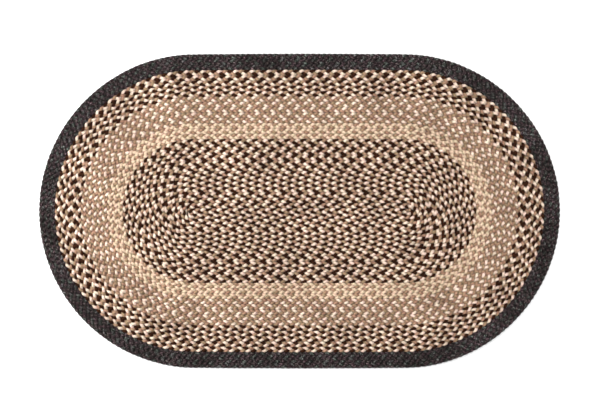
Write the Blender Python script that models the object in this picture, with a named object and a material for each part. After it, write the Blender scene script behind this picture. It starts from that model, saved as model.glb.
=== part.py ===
"""Oval braided rug, 27 by 45 inches, lying flat.

A straight centre row of braid has closed oval rounds of the same braid laid about it, each laced
to the round inside it. The rounds come in five bands of colour: a tweed centre field, a light
band, a tan band, a tweed band and a dark border. Each band is one solid, with a ridge along its
top for every round of braid.

Metres, +Z up. The long axis lies along X, and the origin is under the middle of the rug.
"""

import math
from collections import namedtuple

import bmesh
import bpy

# The braid: three strands plaited flat, as wide as BRAID_WIDTH where one round meets the next.
BRAID_WIDTH = 0.01146
BRAID_HEIGHT = 0.0088
GROOVE_DEPTH = 0.0026
CROWN_SHARE = 0.44  # of a braid's width: the nearly level crown between its two rounded sides

# The oval that every round follows, at its own distance from the centre row.
CENTRE_ROW_LENGTH = 0.467
SIDE_BOW = 0.021  # how far the long sides bow out at mid-length, as a share of that distance
END_STEPS = 24
SIDE_STEPS = 8

# The free outer edge is rounded: widest part way up, and drawn in where it meets the floor.
EDGE_WIDEST_SHARE = 0.42
EDGE_DRAWN_IN = 0.16 * BRAID_WIDTH

BAND_GAP = 0.0003

# The bands from the middle out. The centre field's rounds lie about its centre row. The colours
# are sRGB, each the average of the band's strands.
Band = namedtuple("Band", "name rounds colour roughness")
BANDS = (
    Band("centre_field", 13, (0.58, 0.48, 0.41), 0.92),
    Band("light_band", 3, (0.80, 0.68, 0.58), 0.92),
    Band("tan_band", 5, (0.73, 0.62, 0.53), 0.92),
    Band("tweed_band", 5, (0.57, 0.47, 0.40), 0.92),
    Band("dark_border", 3, (0.22, 0.20, 0.20), 0.86),
)

ALL_ROUNDS = sum(band.rounds for band in BANDS)
OUTER_OFFSET = (ALL_ROUNDS + 0.5) * BRAID_WIDTH
HALF_LENGTH = CENTRE_ROW_LENGTH / 2 + OUTER_OFFSET


def bowed(x, y):
    """A place on the rug once its long sides have bowed out."""
    return x, y * (1 + SIDE_BOW * (1 - (x / HALF_LENGTH) ** 2))


def oval(offset):
    """The places along one oval, anticlockwise, this far from the centre row."""
    places = []
    for side in (1, -1):
        for step in range(END_STEPS):
            angle = math.pi * (step / END_STEPS - 0.5)
            x = CENTRE_ROW_LENGTH / 2 + offset * math.cos(angle)
            places.append(bowed(side * x, side * offset * math.sin(angle)))
        for step in range(SIDE_STEPS):
            x = CENTRE_ROW_LENGTH * (0.5 - step / SIDE_STEPS)
            places.append(bowed(side * x, side * offset))
    return places


def ridges(inner, rounds):
    """The top of a band as (offset, height), from the groove at its inner edge to its last crown."""
    groove = BRAID_HEIGHT - GROOVE_DEPTH
    profile = []
    for index in range(rounds):
        middle = inner + (index + 0.5) * BRAID_WIDTH
        if index:
            profile.append((middle - BRAID_WIDTH / 2, groove))
        profile.append((middle - CROWN_SHARE * BRAID_WIDTH / 2, BRAID_HEIGHT))
        profile.append((middle + CROWN_SHARE * BRAID_WIDTH / 2, BRAID_HEIGHT))
    return profile


def inner_side(inner):
    """The upright side that faces the band inside this one."""
    edge = inner + BAND_GAP / 2
    return [(edge, 0), (edge, BRAID_HEIGHT - GROOVE_DEPTH)]


def outer_side(outer):
    """The upright side that faces the next band, or the rug's own rounded edge."""
    if outer < OUTER_OFFSET - BRAID_WIDTH / 2:
        edge = outer - BAND_GAP / 2
        return [(edge, BRAID_HEIGHT - GROOVE_DEPTH), (edge, 0)]
    return [(outer, EDGE_WIDEST_SHARE * BRAID_HEIGHT), (outer - EDGE_DRAWN_IN, 0)]


def band_mesh(name, profile, is_ring):
    """A closed solid from a profile carried round the oval: a ring, or a whole field with no hole."""
    made = bmesh.new()
    rows = []
    for offset, height in profile:
        rows.append([made.verts.new((x, y, height)) for x, y in oval(offset)])
    pairs = list(zip(rows, rows[1:]))
    if is_ring:
        pairs.append((rows[-1], rows[0]))
    else:
        made.faces.new(rows[0])
        made.faces.new(reversed(rows[-1]))
    for near, far in pairs:
        for index in range(len(near)):
            after = (index + 1) % len(near)
            made.faces.new((near[index], far[index], far[after], near[after]))
    bmesh.ops.recalc_face_normals(made, faces=made.faces)
    mesh = bpy.data.meshes.new(name)
    made.to_mesh(mesh)
    made.free()
    mesh.shade_smooth()
    mesh.set_sharp_from_angle(angle=math.radians(50))
    return mesh


def linear(value):
    """An sRGB value as the linear one that a shader takes."""
    return value / 12.92 if value <= 0.04045 else ((value + 0.055) / 1.055) ** 2.4


def material(band):
    made = bpy.data.materials.new(band.name)
    made.use_nodes = True
    shader = made.node_tree.nodes["Principled BSDF"]
    shader.inputs["Base Color"].default_value = (*map(linear, band.colour), 1)
    shader.inputs["Roughness"].default_value = band.roughness
    shader.inputs["Metallic"].default_value = 0
    return made


def add_band(band, inner):
    """Adds one band whose inner edge lies this far from the centre row, and returns its outer edge."""
    outer = inner + band.rounds * BRAID_WIDTH
    is_ring = inner > BRAID_WIDTH
    if is_ring:
        profile = inner_side(inner) + ridges(inner, band.rounds)
    else:
        groove = (inner, BRAID_HEIGHT - GROOVE_DEPTH)
        centre_row = (CROWN_SHARE * BRAID_WIDTH / 2, BRAID_HEIGHT)
        profile = [centre_row, groove] + ridges(inner, band.rounds)
    mesh = band_mesh(band.name, profile + outer_side(outer), is_ring)
    mesh.materials.append(material(band))
    bpy.context.scene.collection.objects.link(bpy.data.objects.new(band.name, mesh))
    return outer


for old in list(bpy.data.objects):
    bpy.data.objects.remove(old)

edge = BRAID_WIDTH / 2
for row in BANDS:
    edge = add_band(row, edge)
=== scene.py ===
import math

import bpy
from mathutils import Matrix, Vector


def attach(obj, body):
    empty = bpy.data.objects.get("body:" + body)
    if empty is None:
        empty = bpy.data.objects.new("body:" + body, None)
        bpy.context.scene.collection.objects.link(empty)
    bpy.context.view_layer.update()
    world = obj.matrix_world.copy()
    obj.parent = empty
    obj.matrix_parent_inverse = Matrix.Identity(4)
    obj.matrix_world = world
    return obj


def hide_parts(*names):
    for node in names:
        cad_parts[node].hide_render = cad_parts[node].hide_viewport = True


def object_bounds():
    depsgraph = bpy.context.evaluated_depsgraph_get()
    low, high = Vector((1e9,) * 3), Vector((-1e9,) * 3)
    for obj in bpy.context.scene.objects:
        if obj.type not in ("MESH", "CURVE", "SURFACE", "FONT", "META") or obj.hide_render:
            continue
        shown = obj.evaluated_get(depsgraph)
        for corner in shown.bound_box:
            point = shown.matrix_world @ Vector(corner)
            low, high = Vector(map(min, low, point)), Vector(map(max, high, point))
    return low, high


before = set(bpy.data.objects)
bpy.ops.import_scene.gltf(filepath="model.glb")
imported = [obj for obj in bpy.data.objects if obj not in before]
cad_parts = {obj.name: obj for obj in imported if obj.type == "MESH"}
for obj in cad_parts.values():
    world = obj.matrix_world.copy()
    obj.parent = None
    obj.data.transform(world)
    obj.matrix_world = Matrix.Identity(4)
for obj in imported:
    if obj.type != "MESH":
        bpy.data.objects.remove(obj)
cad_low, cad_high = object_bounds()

# ---- The heart of the rug ----
# The rug starts as a straight row of flat three-strand braid. At its end the row turns back on itself and
# runs once about the start, and there it is tapered off, so that the next round can close about it. Each
# strand is a bundle of soft yarns: one near-black brown, one cream and one tan, which gives the tweed.

BRAID_WIDTH = 0.01146
CENTRE_ROW_LENGTH = 0.467
SIDE_BOW = 0.021  # how far the long sides bow out at mid-length, as a share of their distance out
ALL_ROUNDS = 29
HALF_LENGTH = CENTRE_ROW_LENGTH / 2 + (ALL_ROUNDS + 0.5) * BRAID_WIDTH
END_STEPS = 120  # round each end of an oval
SIDE_STEPS = 24  # along each of its long sides

# One strand over one whole run of the plait: from edge to edge over its neighbours, and back under them.
TWEED_RUN = 0.0357
STRAND_WIDTH = 0.0096  # measured straight across the braid, which the strand crosses on a slant
STRAND_THICKNESS = 0.0042
STRAND_FULLNESS = 0.7  # a power: 1 would make its section a plain oval, and less fills it out
STRAND_STEPS = 14
STRAND_SECTION = (-90, -10, 40, 90, 140, 190, 270)  # degrees round it from underneath, closer over its top
STRAND_SIDES = len(STRAND_SECTION) - 1
CROWDING = 0.03  # share of a run by which the steps are drawn towards the strand's crests
CREST = -2.0  # where the strand lies highest, in radians that go full circle in half a run
SWAY = 0.0058  # how far the strand's middle swings to each side
STRAIGHTNESS = 0.8  # share of that swing that goes straight across; the rest is a smooth wave
BRAID_SIDE = 0.0063  # how far out it has room: there it crowds up against the braid laced beside it
SIDE_FIRMNESS = 5  # a power: the higher it is, the more suddenly the strand is stopped there
RISE = 0.0019  # how far it climbs over its neighbours and dips under them
EARLY_CLIMB = 0.034  # share of a run: it has begun to climb this long before it turns back at the side
CLIMB_LEAN = 0.3  # weight of a second wave, which makes it climb faster than it sinks
MIDDLE_HEIGHT = 0.0047
SIDE_DROP = 0.0004  # how much lower the braid lies at its sides than in its middle
WELD_REACH = 0.0001  # points of a strand that lie closer than this are one


def bowed(x, y):
    """A place on the rug once its long sides have bowed out."""
    return x, y * (1 + SIDE_BOW * (1 - (x / HALF_LENGTH) ** 2))


def arc(middle, radius, start, end, steps):
    """Places along an arc about a middle, with its angles in degrees and its last place left off."""
    x, y = middle
    angles = [math.radians(start + (end - start) * step / steps) for step in range(steps)]
    return [(x + radius * math.cos(angle), y + radius * math.sin(angle)) for angle in angles]


def run_between(start, end, steps):
    """Places along a straight run, with its last place left off."""
    return [
        (start[0] + (end[0] - start[0]) * step / steps, start[1] + (end[1] - start[1]) * step / steps)
        for step in range(steps)
    ]


def distance_along(places, is_closed):
    """The length of the line through these places."""
    after = places[1:] + places[:1] * is_closed
    return sum(math.dist(here, there) for here, there in zip(places, after))


def guide(places, is_closed, widths):
    """The line that a braid is laid along: a flat curve, with the braid's relative width at each place."""
    line = bpy.data.curves.new("guide", "CURVE")
    line.dimensions = "3D"
    line.twist_mode = "Z_UP"
    spline = line.splines.new("POLY")
    spline.points.add(len(places) - 1)
    spline.use_cyclic_u = is_closed
    for point, place, width in zip(spline.points, places, widths or [1] * len(places)):
        point.co = (*place, 0, 1)
        point.radius = width
    made = bpy.data.objects.new("guide", line)
    bpy.context.scene.collection.objects.link(made)
    return made


def flattened(value):
    """A sine or cosine pushed out towards its ends, for a section that is round but pressed flat."""
    return math.copysign(abs(value) ** STRAND_FULLNESS, value)


def held_in(across):
    """A place across the braid, crowded in where the braids beside it leave it no room."""
    return across / (1 + abs(across / BRAID_SIDE) ** SIDE_FIRMNESS) ** (1 / SIDE_FIRMNESS)


def strand(run, first_angle, material):
    """One strand over one run of the plait, a flattened tube rolled up from a grid: X along, Y across.

    It swings from side to side and back once, starting from the first angle, in radians.
    """
    bpy.ops.mesh.primitive_grid_add(x_subdivisions=STRAND_STEPS, y_subdivisions=STRAND_SIDES, size=1)
    made = bpy.context.object
    for point in made.data.vertices:
        along, around = point.co.x + 0.5, point.co.y + 0.5
        crowded = math.sin(4 * math.pi * along + 2 * first_angle - CREST)
        along -= CROWDING * (crowded - math.sin(2 * first_angle - CREST))
        turn = 2 * math.pi * along + first_angle
        side = math.radians(STRAND_SECTION[round(around * STRAND_SIDES)])
        climb = CLIMB_LEAN * math.sin(4 * turn) - math.sin(2 * turn + 4 * math.pi * EARLY_CLIMB)
        straight = math.asin(math.sin(turn)) * 2 / math.pi
        swing = STRAIGHTNESS * straight + (1 - STRAIGHTNESS) * math.sin(turn)
        across = held_in(SWAY * swing + STRAND_WIDTH / 2 * flattened(math.cos(side)))
        up = MIDDLE_HEIGHT + RISE * climb + STRAND_THICKNESS / 2 * flattened(math.sin(side))
        up -= SIDE_DROP * (across / BRAID_SIDE) ** 2
        point.co = (run * along, across, up)
    made.data.materials.append(material)
    return made


def join(pieces, name):
    """Joins pieces into one."""
    bpy.ops.object.select_all(action="DESELECT")
    for piece in pieces:
        piece.select_set(True)
    bpy.context.view_layer.objects.active = pieces[0]
    bpy.ops.object.join()
    pieces[0].name = pieces[0].data.name = name
    return pieces[0]


def close_up(piece):
    """Welds what meets, caps the open ends and turns every face outwards."""
    bpy.ops.object.select_all(action="DESELECT")
    piece.select_set(True)
    bpy.context.view_layer.objects.active = piece
    bpy.ops.object.mode_set(mode="EDIT")
    bpy.ops.mesh.select_all(action="SELECT")
    bpy.ops.mesh.remove_doubles(threshold=WELD_REACH)
    bpy.ops.mesh.fill_holes(sides=STRAND_SIDES)
    bpy.ops.mesh.select_all(action="SELECT")
    bpy.ops.mesh.normals_make_consistent(inside=False)
    bpy.ops.mesh.faces_shade_smooth()
    bpy.ops.object.mode_set(mode="OBJECT")


def lay_braid(places, is_closed, run, yarns, lead, widths=None):
    """Plaits three strands and lays the braid along these places, in a whole number of runs.

    The lead is how far through a run the plait is where it starts, from 0 to 1.
    """
    length = distance_along(places, is_closed)
    count = round(length / run)
    bpy.ops.object.select_all(action="DESELECT")
    strands = []
    for index, yarn in enumerate(yarns):
        strands.append(strand(length / count, 2 * math.pi * (lead + index / 3), yarn))
    braid = join(strands, "braid")
    line = guide(places, is_closed, widths)
    repeat = braid.modifiers.new("repeat", "ARRAY")
    repeat.count = count
    repeat.use_relative_offset = False
    repeat.use_constant_offset = True
    repeat.constant_offset_displace = (length / count, 0, 0)
    repeat.use_merge_vertices = True
    repeat.merge_threshold = WELD_REACH / 2
    repeat.offset_u = 1
    lay = braid.modifiers.new("lay", "CURVE")
    lay.object = line
    bpy.ops.object.modifier_apply(modifier="repeat")
    bpy.ops.object.modifier_apply(modifier="lay")
    close_up(braid)
    bpy.data.objects.remove(line)
    return braid


def oval(offset):
    """The places along one oval round this far from the centre row, from the middle of its far side."""
    half = CENTRE_ROW_LENGTH / 2
    places = run_between((0, offset), (-half, offset), SIDE_STEPS // 2)
    places += arc((-half, 0), offset, 90, 270, END_STEPS)
    places += run_between((-half, -offset), (half, -offset), SIDE_STEPS)
    places += arc((half, 0), offset, -90, 90, END_STEPS)
    places += run_between((half, offset), (0, offset), SIDE_STEPS // 2)
    return [bowed(x, y) for x, y in places]


def leads_of(count, first, step, gain=0.0):
    """How far through a run each round's plait is at the middle of the rug's far side.

    From each round to the next one out it moves on by a step, and the step may gain a little every time.
    """
    return [first + step * index + gain * index * (index - 1) / 2 for index in range(count)]


def lay_rounds(first_round, run, yarns, leads):
    """Closed rounds of braid, one for each lead, counted outwards from the centre row."""
    offsets = [(first_round + index) * BRAID_WIDTH for index in range(len(leads))]
    return [lay_braid(oval(offset), True, run, yarns, lead) for offset, lead in zip(offsets, leads)]


def loosen(piece):
    """Makes the plaiting handmade: the rows wander a little, and no two stitches are quite alike."""
    for name, size, reach in (("wander", 0.045, 0.0007), ("unevenness", 0.007, 0.0007)):
        clouds = bpy.data.textures.new(name, "CLOUDS")
        clouds.cloud_type = "COLOR"
        clouds.noise_scale = size
        shift = piece.modifiers.new(name, "DISPLACE")
        shift.texture = clouds
        shift.texture_coords = "GLOBAL"
        shift.direction = "RGB_TO_XYZ"
        shift.strength = reach
        bpy.ops.object.modifier_apply(modifier=name)


def laid_yarns():
    """What every strand shows, as a node group: yarns side by side, each of two twisted plies."""
    group = bpy.data.node_groups.new("laid yarns", "ShaderNodeTree")
    for name, kind in (
        ("Wrap", "NodeSocketVector"),
        ("Place", "NodeSocketVector"),
        ("Colour", "NodeSocketColor"),
        ("Fleck Colour", "NodeSocketColor"),
        ("Fleck Share", "NodeSocketFloat"),
        ("Tone Spread", "NodeSocketFloat"),
        ("Tint Share", "NodeSocketFloat"),
        ("Painted Shade Depth", "NodeSocketFloat"),
    ):
        group.interface.new_socket(name, in_out="INPUT", socket_type=kind)
    for name, kind in (
        ("Colour", "NodeSocketColor"),
        ("Roughness", "NodeSocketFloat"),
        ("Height", "NodeSocketFloat"),
    ):
        group.interface.new_socket(name, in_out="OUTPUT", socket_type=kind)
    inward = group.nodes.new("NodeGroupInput").outputs
    outward = group.nodes.new("NodeGroupOutput").inputs

    def feed(socket, value):
        if isinstance(value, bpy.types.NodeSocket):
            group.links.new(value, socket)
        else:
            socket.default_value = value

    def math_node(operation, *values):
        made = group.nodes.new("ShaderNodeMath")
        made.operation = operation
        for socket, value in zip(made.inputs, values):
            feed(socket, value)
        return made.outputs[0]

    def plus(first, second):
        return math_node("ADD", first, second)

    def minus(first, second):
        return math_node("SUBTRACT", first, second)

    def times(first, second):
        return math_node("MULTIPLY", first, second)

    def noise(vector, scale, detail=2.0):
        made = group.nodes.new("ShaderNodeTexNoise")
        made.inputs["Scale"].default_value = scale
        made.inputs["Detail"].default_value = detail
        feed(made.inputs["Vector"], vector)
        return made.outputs["Fac"]

    def vector_of(x, y, z=0.0):
        made = group.nodes.new("ShaderNodeCombineXYZ")
        for socket, value in zip(made.inputs, (x, y, z)):
            feed(socket, value)
        return made.outputs[0]

    def ranged(value, low, high, to_low, to_high):
        made = group.nodes.new("ShaderNodeMapRange")
        for socket, number in zip(made.inputs, (value, low, high, to_low, to_high)):
            feed(socket, number)
        return made.outputs["Result"]

    def mixed(share, first, second, blend="MIX"):
        made = group.nodes.new("ShaderNodeMix")
        made.data_type = "RGBA"
        made.blend_type = blend
        feed(made.inputs["Factor"], share)
        feed(made.inputs["A"], first)
        feed(made.inputs["B"], second)
        return made.outputs["Result"]

    def warm_shade(value):
        """A painted shade that turns redder as it deepens, as light does that passes from yarn to yarn."""
        made = group.nodes.new("ShaderNodeCombineColor")
        for socket, power in zip(made.inputs, (0.92, 1.0, 1.05)):
            feed(socket, math_node("POWER", value, power))
        return made.outputs[0]

    wrap = group.nodes.new("ShaderNodeSeparateXYZ")
    feed(wrap.inputs[0], inward["Wrap"])
    along, around = wrap.outputs["X"], wrap.outputs["Y"]
    place = group.nodes.new("ShaderNodeSeparateXYZ")
    feed(place.inputs[0], inward["Place"])

    # The yarns lie side by side round the strand and drift round it a little, and each is twisted.
    yarns_round_strand, drift_in_one_run, ridges_in_one_run = 9, 2, 14
    yarn_fullness = 0.6  # a power: 1 would leave its crown a plain sine, and less fills it out
    yarn = plus(times(around, yarns_round_strand), times(along, drift_in_one_run))
    across_yarn = math_node("FRACT", yarn)
    crown = math_node("POWER", math_node("SINE", times(across_yarn, math.pi)), yarn_fullness)
    ply = math_node("SINE", times(plus(times(along, ridges_in_one_run), across_yarn), 2 * math.pi))

    # Fine fibres are drawn out along the strand, and roughen it.
    fibres_along, fibres_around = 9, 26
    crown_height, ply_height, fibre_height = 0.7, 0.2, 0.35
    drawn_out = vector_of(times(along, fibres_along), times(around, fibres_around))
    fibres = noise(drawn_out, scale=3.0, detail=4.0)
    height = plus(times(crown, crown_height), times(ply, ply_height))
    feed(outward["Height"], plus(height, times(fibres, fibre_height)))
    feed(outward["Roughness"], ranged(fibres, low=0.3, high=0.7, to_low=0.84, to_high=0.98))

    # Each yarn takes the dye a little differently along its length, and so does each stitch and each patch.
    next_yarn = 3.7  # how far off in the noise the next yarn is read, so that it has tones of its own
    noise_middle = 0.5
    yarn_tone = noise(vector_of(times(math_node("FLOOR", yarn), next_yarn), along), scale=1.3)
    stitch_tone = noise(inward["Place"], scale=200.0)
    patch_tone = noise(inward["Place"], scale=14.0)
    tones = plus(plus(yarn_tone, stitch_tone), patch_tone)
    tone = plus(times(minus(tones, 3 * noise_middle), inward["Tone Spread"]), 1.0)

    # Flecks are short streaks along the yarns, and soft patches lean a little to green or to red.
    flecks_along, flecks_around, fleck_change = 14, 20, 25
    fleck_softness = 0.12
    greenish, reddish = (0.92, 1.04, 0.90, 1), (1.12, 0.94, 1.0, 1)
    from_place_to_place = times(plus(place.outputs["X"], place.outputs["Y"]), fleck_change)
    streaks = vector_of(times(along, flecks_along), times(around, flecks_around), from_place_to_place)
    fleck_edge = minus(1.0, inward["Fleck Share"])
    fleck_end = plus(fleck_edge, fleck_softness)
    fleck = ranged(noise(streaks, scale=1.0), low=fleck_edge, high=fleck_end, to_low=0.0, to_high=1.0)
    flecked = mixed(fleck, inward["Colour"], inward["Fleck Colour"])
    warmth_clouds = noise(inward["Place"], scale=120.0, detail=1.0)
    warmth = ranged(warmth_clouds, low=0.35, high=0.65, to_low=0.0, to_high=1.0)
    dyed = mixed(inward["Tint Share"], flecked, mixed(warmth, greenish, reddish), "MULTIPLY")

    # Shade is painted into the colour: between the yarns and their plies, down a strand's sides
    # and where it dips under, the braid is painted darker, and the dye's tones are multiplied in with it.
    top_of_strand = 0.5  # half of the way round, as the wrap is counted from underneath
    painted_yarn_gap_shade = ranged(crown, low=0.0, high=0.7, to_low=0.62, to_high=1.0)
    painted_ply_gap_shade = ranged(ply, low=-1.0, high=0.3, to_low=0.82, to_high=1.0)
    off_top = math_node("ABSOLUTE", minus(around, top_of_strand))
    sides = ranged(off_top, low=0.10, high=0.28, to_low=1.0, to_high=0.35)
    painted_low_shade = ranged(place.outputs["Z"], low=0.0036, high=0.0082, to_low=0.45, to_high=1.0)
    painted_crease_shade = math_node("POWER", times(sides, painted_low_shade), inward["Painted Shade Depth"])
    shade = times(times(times(painted_yarn_gap_shade, painted_ply_gap_shade), painted_crease_shade), tone)
    feed(outward["Colour"], mixed(1.0, dyed, warm_shade(shade), "MULTIPLY"))
    return group


LAID_YARNS = laid_yarns()


def yarn_material(
    name, colour, fleck, fleck_share=0.3, tone_spread=0.9, tint_share=0.5, painted_shade_depth=1.0, sheen=0.15
):
    """The material of one strand, which gives the shared yarns colours and shares of its own."""
    made = bpy.data.materials.new(name)
    made.use_nodes = True
    nodes, link = made.node_tree.nodes, made.node_tree.links.new
    shader = nodes["Principled BSDF"]
    shader.inputs["Sheen Weight"].default_value = sheen
    shader.inputs["Sheen Roughness"].default_value = 0.5
    shader.inputs["Specular IOR Level"].default_value = 0.1
    look = nodes.new("ShaderNodeGroup")
    look.node_tree = LAID_YARNS
    look.inputs["Colour"].default_value = (*colour, 1)
    look.inputs["Fleck Colour"].default_value = (*fleck, 1)
    look.inputs["Fleck Share"].default_value = fleck_share
    look.inputs["Tone Spread"].default_value = tone_spread
    look.inputs["Tint Share"].default_value = tint_share
    look.inputs["Painted Shade Depth"].default_value = painted_shade_depth
    wrap = nodes.new("ShaderNodeUVMap")
    wrap.uv_map = "UVMap"
    bump = nodes.new("ShaderNodeBump")
    bump.inputs["Strength"].default_value = 0.8
    bump.inputs["Distance"].default_value = 0.0008
    link(wrap.outputs["UV"], look.inputs["Wrap"])
    link(nodes.new("ShaderNodeTexCoord").outputs["Object"], look.inputs["Place"])
    link(look.outputs["Colour"], shader.inputs["Base Color"])
    link(look.outputs["Roughness"], shader.inputs["Roughness"])
    link(look.outputs["Height"], bump.inputs["Height"])
    link(bump.outputs["Normal"], shader.inputs["Normal"])
    return made


# The heart is one length of braid. All but the steps and the sweep are shares of the braid's width.
ROW_STEPS = 160
HAIRPIN_STEPS = 24
BEND_STEPS = 32
TAIL_STEPS = 32
TAIL_SWEEP = 144  # degrees that the tapered end goes round, outside the hairpin
NEXT_ROUND = 1.5  # from the centre row's middle out to the inner edge of the first closed round
START_REACH = 0.42  # how far the first end is tucked into the bend that goes round it
START_WIDTH = 0.75
START_STEPS = 5  # in these the braid widens from there to the whole
FIRST_ROUND_WIDTH = 0.96  # it is drawn a little tighter where it goes round the centre row


def heart_places():
    """The centre row, its hairpin turn, the first round about it, and the widths of its tapered ends."""
    half, pitch = CENTRE_ROW_LENGTH / 2, BRAID_WIDTH
    places = run_between((half + START_REACH * pitch, 0), (-half, 0), ROW_STEPS)
    widening = [START_WIDTH + (1 - START_WIDTH) * step / START_STEPS for step in range(START_STEPS)]
    widths = widening + [1] * (ROW_STEPS - START_STEPS)
    places += arc((-half, -pitch / 2), pitch / 2, 90, 270, HAIRPIN_STEPS)
    places += run_between((-half, -pitch), (half, -pitch), ROW_STEPS)
    places += arc((half, 0), pitch, -90, 90, BEND_STEPS)
    places += run_between((half, pitch), (-half, pitch), ROW_STEPS)
    widths += [FIRST_ROUND_WIDTH] * (len(places) - len(widths))
    for step in range(TAIL_STEPS):
        angle = math.radians(90 + TAIL_SWEEP * step / TAIL_STEPS)
        hairpin_edge = math.sqrt(1 - (math.cos(angle) / 2) ** 2) - math.sin(angle) / 2
        out = (hairpin_edge + NEXT_ROUND) / 2 * pitch
        places.append((-half + out * math.cos(angle), out * math.sin(angle)))
        widths.append(NEXT_ROUND - hairpin_edge)
    return [bowed(x, y) for x, y in places], widths


DARK_BROWN = yarn_material(
    "dark_brown_yarn",
    colour=(0.028, 0.0085, 0.0025),
    fleck=(0.17, 0.10, 0.065),
    tone_spread=1.4,
    tint_share=1.0,
    sheen=0.0,
)
CREAM = yarn_material("cream_yarn", colour=(0.78, 0.615, 0.505), fleck=(0.60, 0.45, 0.34))
TAN = yarn_material("tan_yarn", colour=(0.33, 0.208, 0.133), fleck=(0.45, 0.30, 0.20), tint_share=0.8)
CENTRE_TWEED = (DARK_BROWN, TAN, CREAM)
CENTRE_ROUNDS = 13
FIRST_CLOSED_ROUND = 2  # the heart's own round, which isn't closed, is the first
HEART_CLOSED_ROUNDS = 7

# How far through a run the plait is at the heart's first end, and in each closed round. The third round
# from the middle has slipped by nearly half a run, and the field's last one starts its plait afresh.
HEART_LEAD = 0.5
SLIPPED_ROUND = 3
SLIP = 0.45
LAST_ROUND_LEAD = 0.05
CENTRE_LEADS = leads_of(CENTRE_ROUNDS - FIRST_CLOSED_ROUND, first=0.70, step=-0.25, gain=0.1)
CENTRE_LEADS[SLIPPED_ROUND - FIRST_CLOSED_ROUND] += SLIP
CENTRE_LEADS.append(LAST_ROUND_LEAD)

centre_row, centre_widths = heart_places()
heart = lay_braid(centre_row, False, TWEED_RUN, CENTRE_TWEED, HEART_LEAD, centre_widths)
inner_leads = CENTRE_LEADS[:HEART_CLOSED_ROUNDS]
inner_rounds = lay_rounds(FIRST_CLOSED_ROUND, TWEED_RUN, CENTRE_TWEED, inner_leads)
centre_heart = join([heart] + inner_rounds, "centre_heart")
loosen(centre_heart)
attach(centre_heart, "root")
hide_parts("centre_field")

# ---- The rest of the centre field ----
# Five more closed rounds of the same tweed braid, of the same three strands. Each is laid flat about the
# one inside it and laced to it edge to edge, and its two ends are joined so that no seam shows.

first_outer_round = FIRST_CLOSED_ROUND + HEART_CLOSED_ROUNDS
outer_leads = CENTRE_LEADS[HEART_CLOSED_ROUNDS:]
outer_rounds = lay_rounds(first_outer_round, TWEED_RUN, CENTRE_TWEED, outer_leads)
centre_rounds = join(outer_rounds, "centre_rounds")
loosen(centre_rounds)
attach(centre_rounds, "root")
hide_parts("centre_field")

# ---- The light band ----
# Three rounds of braid plaited from two strands of a pale yarn and one of the tan, laced on like the rest.
# The pale yarn is a little yellower than the cream, and less shade is painted on its strands where they
# meet.

PALE = yarn_material(
    "pale_yarn",
    colour=(0.675, 0.51, 0.37),
    fleck=(0.56, 0.41, 0.29),
    tone_spread=0.5,
    painted_shade_depth=0.6,
)
LIGHT_STRANDS = (TAN, PALE, PALE)
FIRST_LIGHT_ROUND = CENTRE_ROUNDS + 1
LIGHT_ROUNDS = 3
LIGHT_LEADS = leads_of(LIGHT_ROUNDS, first=0.79, step=-0.02, gain=0.58)

light_rounds = lay_rounds(FIRST_LIGHT_ROUND, TWEED_RUN, LIGHT_STRANDS, LIGHT_LEADS)
light_band = join(light_rounds, "light_band_braid")
loosen(light_band)
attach(light_band, "root")
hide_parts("light_band")

# ---- The tan band ----
# Five rounds of braid with two tan strands and one of cream. It is plaited a little tighter than the
# tweed, so its runs are shorter, and it is laced on outside the light band in the same way.

TAN_RUN = 0.0350
TAN_STRANDS = (TAN, CREAM, TAN)
FIRST_TAN_ROUND = FIRST_LIGHT_ROUND + LIGHT_ROUNDS
TAN_ROUNDS = 5
TAN_LEADS = leads_of(TAN_ROUNDS, first=0.56, step=0.31, gain=0.14)

tan_rounds = lay_rounds(FIRST_TAN_ROUND, TAN_RUN, TAN_STRANDS, TAN_LEADS)
tan_band = join(tan_rounds, "tan_band_braid")
loosen(tan_band)
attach(tan_band, "root")
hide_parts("tan_band")

# ---- The tweed band ----
# Five rounds of braid in the same dark brown, cream and tan as the centre, laced on outside the tan band.
# The cream and the tan strand have changed places in the plait, so the steps of dark stitches look
# different. The last round is plaited a little looser, which gives it one run fewer.

OUTER_TWEED = (DARK_BROWN, CREAM, TAN)
FIRST_TWEED_ROUND = FIRST_TAN_ROUND + TAN_ROUNDS
TWEED_ROUNDS = 5
TWEED_LEADS = leads_of(TWEED_ROUNDS, first=0.33, step=0.11, gain=-0.19)
LAST_TWEED_ROUND = FIRST_TWEED_ROUND + TWEED_ROUNDS - 1
LAST_TWEED_RUN = 0.0361

tweed_rounds = lay_rounds(FIRST_TWEED_ROUND, TWEED_RUN, OUTER_TWEED, TWEED_LEADS[:-1])
tweed_rounds += lay_rounds(LAST_TWEED_ROUND, LAST_TWEED_RUN, OUTER_TWEED, TWEED_LEADS[-1:])
tweed_band = join(tweed_rounds, "tweed_band_braid")
loosen(tweed_band)
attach(tweed_band, "root")
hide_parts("tweed_band")

# ---- The dark border ----
# Three rounds of charcoal braid, laced on last. Its strands are flecked with paler plies: one strand with
# greenish grey ones, and the other two with greys that lean a little to red.


def charcoal_material(name, colour, fleck):
    """The material of one of the border's strands."""
    return yarn_material(
        name,
        colour,
        fleck,
        fleck_share=0.44,
        tone_spread=1.6,
        tint_share=1.0,
        # The shade painted into their creases is darker than in the other yarns.
        painted_shade_depth=1.9,
        sheen=0.04,
    )


GREEN_CHARCOAL = charcoal_material(
    "green_charcoal_yarn",
    colour=(0.0215, 0.022, 0.022),
    fleck=(0.38, 0.395, 0.385),
)
RED_CHARCOAL = charcoal_material(
    "red_charcoal_yarn",
    colour=(0.0165, 0.0108, 0.0125),
    fleck=(0.29, 0.22, 0.232),
)
BORDER_STRANDS = (GREEN_CHARCOAL, RED_CHARCOAL, RED_CHARCOAL)
BORDER_LEADS = leads_of(ALL_ROUNDS - LAST_TWEED_ROUND, first=0.1, step=0.6)

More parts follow.
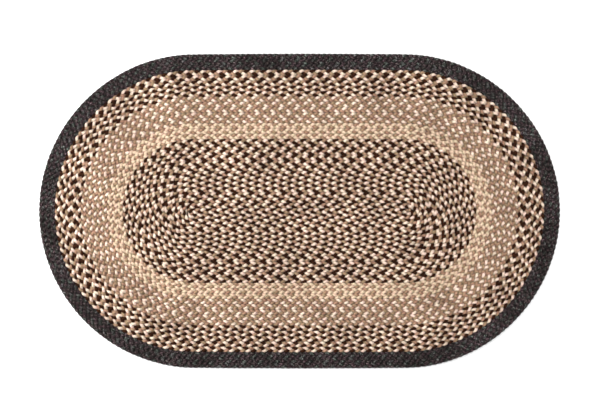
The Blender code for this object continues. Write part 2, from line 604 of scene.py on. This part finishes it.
border_rounds = lay_rounds(LAST_TWEED_ROUND + 1, TWEED_RUN, BORDER_STRANDS, BORDER_LEADS)
dark_border = join(border_rounds, "dark_border_braid")
loosen(dark_border)
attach(dark_border, "root")
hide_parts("dark_border")

# ---- The studio ----
# A plain, nearly white floor under a broad soft light, which hangs overhead and a little towards the rug's
# far side, with others lower down at the left, the right and the far side. The camera looks straight down,
# as the photo's did.

FLOOR_SIZE = 9
bpy.ops.mesh.primitive_plane_add(size=FLOOR_SIZE)
floor = bpy.context.object
floor.name = "floor"
floor_paint = bpy.data.materials.new("floor_paint")
floor_paint.use_nodes = True
floor_shader = floor_paint.node_tree.nodes["Principled BSDF"]
floor_shader.inputs["Base Color"].default_value = (0.86, 0.86, 0.86, 1)
floor_shader.inputs["Roughness"].default_value = 0.9
floor.data.materials.append(floor_paint)


def soft_light(name, place, width, height, power):
    """An area light that faces the middle of the rug."""
    bpy.ops.object.light_add(type="AREA", location=place)
    made = bpy.context.object
    made.name = name
    made.data.shape = "RECTANGLE"
    made.data.size = width
    made.data.size_y = height
    made.data.energy = power
    made.rotation_euler = (-made.location).to_track_quat("-Z", "Y").to_euler()


soft_light("overhead_light", place=(0.0, 0.8, 3.3), width=2.0, height=2.0, power=73)
soft_light("left_light", place=(-1.7, 0.0, 1.0), width=0.9, height=0.9, power=48)
soft_light("right_light", place=(1.7, 0.0, 1.0), width=0.9, height=0.9, power=17)
soft_light("far_side_light", place=(-0.2, 2.6, 0.5), width=2.4, height=0.5, power=50)

world = bpy.data.worlds.new("studio")
world.use_nodes = True
world.node_tree.nodes["Background"].inputs["Color"].default_value = (1, 1, 1, 1)
world.node_tree.nodes["Background"].inputs["Strength"].default_value = 0.38
bpy.context.scene.world = world
bpy.context.scene.view_settings.view_transform = "Standard"

PHOTO_COLUMNS = 600
PHOTO_PIXEL = 0.002194  # metres that one of them spans at the rug's top
PHOTO_WIDTH = PHOTO_COLUMNS * PHOTO_PIXEL
LENS = 85
SENSOR = 36
camera_height = cad_high.z + PHOTO_WIDTH * LENS / SENSOR

# The rug's middle lies half a pixel left of the photo's middle, and one pixel below it.
camera_place = (PHOTO_PIXEL / 2, PHOTO_PIXEL, camera_height)
bpy.ops.object.camera_add(location=camera_place, rotation=(0, 0, 0))
camera = bpy.context.object
camera.data.lens = LENS
camera.data.sensor_width = SENSOR
bpy.context.scene.camera = camera
